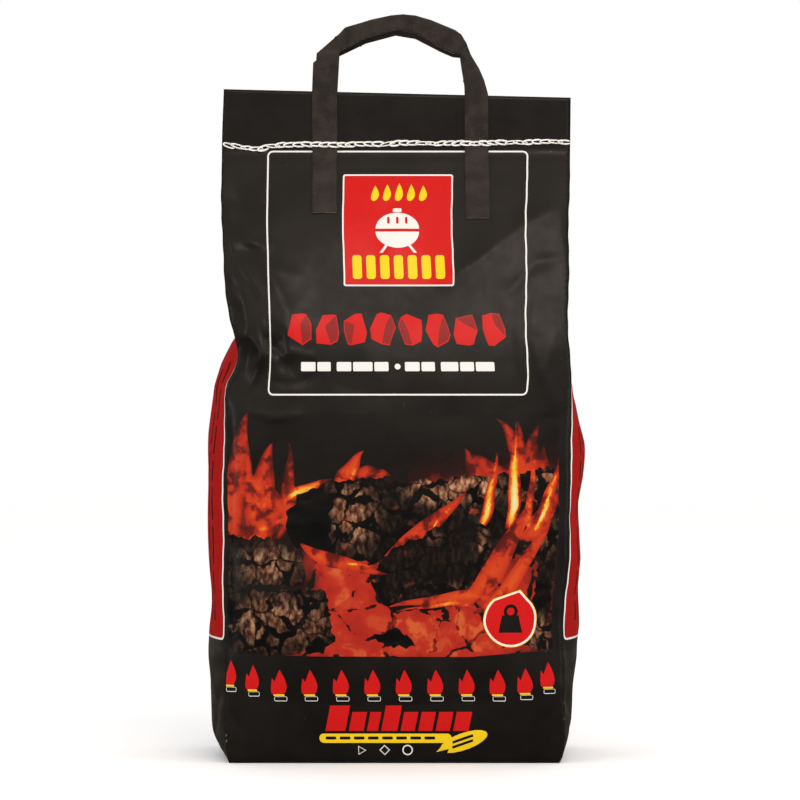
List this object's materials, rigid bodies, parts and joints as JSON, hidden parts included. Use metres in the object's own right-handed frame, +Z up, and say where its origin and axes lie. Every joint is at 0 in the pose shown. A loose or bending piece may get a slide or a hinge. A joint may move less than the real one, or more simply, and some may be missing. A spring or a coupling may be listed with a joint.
{
  "type": "charcoal sack",
  "caption": "Upright gusseted paper sack of lump charcoal with a block bottom, a sewn flat mouth and two flat paper carrying handles.",
  "frame": {"origin": "middle of the underside that the sack stands on", "axes": "+Z up towards the sewn mouth and the handles, -Y towards the printed front, +X to the right of someone who faces the front"},
  "size_m": [0.302, 0.146, 0.5938],
  "materials": {
    "printed_paper": "coated black print, semi-gloss",
    "kraft_paper": "uncoated brown kraft",
    "handle_paper": "dyed dark brown, satin",
    "thread": "twisted white sewing thread",
    "charcoal": "matt charred wood with a silky cleft"
  },
  "bodies": {
    "root": {"outer_ply": "printed_paper", "inner_ply": "kraft_paper", "handle_front": "handle_paper", "handle_back": "handle_paper", "seam_looper_thread": "thread", "seam_needle_thread": "thread", "lump_01": "charcoal", "lump_02": "charcoal", "lump_03": "charcoal", "lump_04": "charcoal", "lump_05": "charcoal", "lump_06": "charcoal", "lump_07": "charcoal", "lump_08": "charcoal", "lump_09": "charcoal", "lump_10": "charcoal", "lump_11": "charcoal", "lump_12": "charcoal", "lump_13": "charcoal", "lump_14": "charcoal", "lump_15": "charcoal", "lump_16": "charcoal", "lump_17": "charcoal", "lump_18": "charcoal", "lump_19": "charcoal", "lump_20": "charcoal", "lump_21": "charcoal", "lump_22": "charcoal", "lump_23": "charcoal", "lump_24": "charcoal", "lump_25": "charcoal", "lump_26": "charcoal", "lump_27": "charcoal", "lump_28": "charcoal", "lump_29": "charcoal", "lump_30": "charcoal", "lump_31": "charcoal", "lump_32": "charcoal", "lump_33": "charcoal", "lump_34": "charcoal", "lump_35": "charcoal", "lump_36": "charcoal", "lump_37": "charcoal", "lump_38": "charcoal", "lump_39": "charcoal"}
  },
  "joints": []
}
